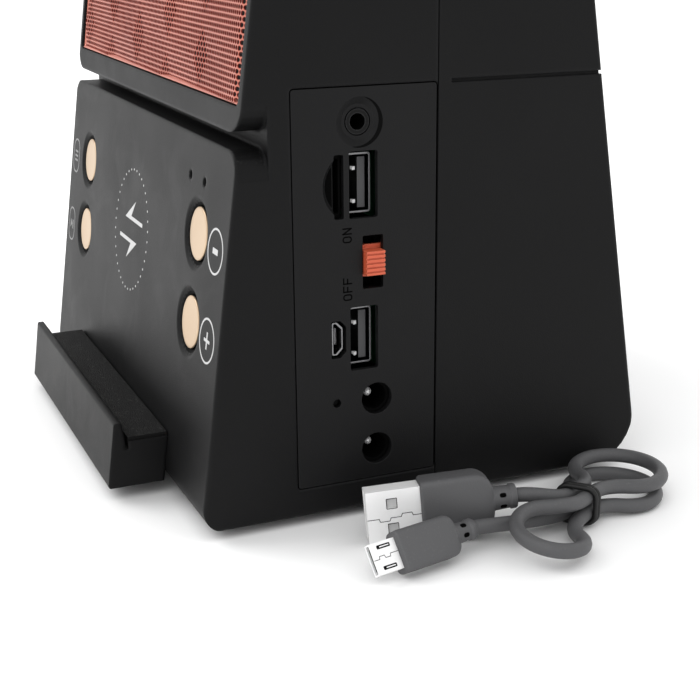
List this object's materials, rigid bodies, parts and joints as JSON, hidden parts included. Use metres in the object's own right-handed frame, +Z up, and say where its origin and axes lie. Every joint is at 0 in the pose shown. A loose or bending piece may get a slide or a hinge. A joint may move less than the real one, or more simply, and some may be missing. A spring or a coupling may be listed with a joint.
{
  "type": "flashlight radio",
  "caption": "Tapered upright radio with a torch, folding handle, speaker grille, push buttons, phone rest, side sockets and a short tied charging cable.",
  "frame": {"origin": "on the floor under the middle of the case's box with its handle up, without the loose cable", "axes": "+Z up, -Y is the front with the grille and phone rest, +X is the side with the sockets"},
  "size_m": [0.2016, 0.1266, 0.2355],
  "materials": {
    "case_black": "fine moulded grain",
    "panel_black": "satin",
    "soft_rubber": "matt",
    "fastener_steel": "plain",
    "board_green": "solder mask",
    "socket_metal": "bright plate",
    "socket_black": "plain",
    "lamp_clear": "clear lens",
    "knob_orange": "satin",
    "button_gold": "metallic satin",
    "coil_copper": "enamelled copper wire",
    "ferrite_grey": "plain",
    "grille_copper": "rose copper paint",
    "speaker_metal": "plain",
    "cone_black": "pressed paper",
    "cell_wrap": "shrink wrap",
    "lens_clear": "clear",
    "reflector_bright": "bright",
    "cord_grey": "satin",
    "tie_black": "plain",
    "plug_metal": "bright plate"
  },
  "bodies": {
    "case": {"front_shell": "case_black", "rear_shell": "case_black", "base_plate": "case_black", "rubber_feet": "soft_rubber", "case_screws": "fastener_steel", "base_screws": "fastener_steel", "port_panel": "panel_black", "side_board": "board_green", "aux_jack": "socket_black", "card_socket": "socket_metal", "usb_media_shell": "socket_metal", "usb_charge_shell": "socket_metal", "usb_tongues": "socket_black", "micro_usb_port": "socket_metal", "dc_jack_upper": "socket_black", "dc_jack_lower": "socket_black", "dc_pins": "fastener_steel", "charge_led": "lamp_clear", "switch_body": "socket_black", "tact_switches": "socket_black", "control_board": "board_green", "status_leds": "lamp_clear", "charging_coil": "coil_copper", "ferrite_sheet": "ferrite_grey", "phone_ledge": "case_black", "ledge_pad": "soft_rubber", "speaker_grille": "grille_copper", "speaker_left": "speaker_metal", "speaker_right": "speaker_metal", "speaker_cones": "cone_black", "battery_holder": "socket_black", "battery_cells": "cell_wrap", "torch_bezel": "case_black", "torch_lens": "lens_clear", "torch_reflector": "reflector_bright", "torch_led": "lamp_clear", "torch_switch": "socket_black", "handle_pins": "fastener_steel", "cable": "cord_grey", "cable_tie": "tie_black", "usb_plug_shell": "plug_metal", "usb_plug_grip": "cord_grey", "micro_plug_shell": "plug_metal", "micro_plug_grip": "cord_grey"},
    "mode_button": {"mode_button": "button_gold"},
    "play_button": {"play_button": "button_gold"},
    "minus_button": {"minus_button": "button_gold"},
    "plus_button": {"plus_button": "button_gold"},
    "torch_button": {"torch_button": "button_gold"},
    "output_switch": {"switch_knob": "knob_orange"},
    "carry_handle": {"handle": "case_black", "handle_grip": "soft_rubber"}
  },
  "joints": [
    {"name": "mode_press", "type": "slide", "parent": "case", "child": "mode_button", "axis": [0, 0.991, -0.134], "range_m": [0, 0.0006], "stiffness_N_per_m": 1500},
    {"name": "play_press", "type": "slide", "parent": "case", "child": "play_button", "axis": [0, 0.991, -0.134], "range_m": [0, 0.0006], "stiffness_N_per_m": 1500},
    {"name": "minus_press", "type": "slide", "parent": "case", "child": "minus_button", "axis": [0, 0.991, -0.134], "range_m": [0, 0.0006], "stiffness_N_per_m": 1500},
    {"name": "plus_press", "type": "slide", "parent": "case", "child": "plus_button", "axis": [0, 0.991, -0.134], "range_m": [0, 0.0006], "stiffness_N_per_m": 1500},
    {"name": "torch_press", "type": "slide", "parent": "case", "child": "torch_button", "axis": [0, 0, -1], "range_m": [0, 0.0006], "stiffness_N_per_m": 1500},
    {"name": "output_slide", "type": "slide", "parent": "case", "child": "output_switch", "axis": [-0.0175, 0, 0.9998], "range_m": [-0.003, 0.003]},
    {"name": "handle_fold", "type": "hinge", "parent": "case", "child": "carry_handle", "pos_m": [0, 0.01575, 0.176], "axis": [1, 0, 0], "range_deg": [-95, 0]}
  ]
}
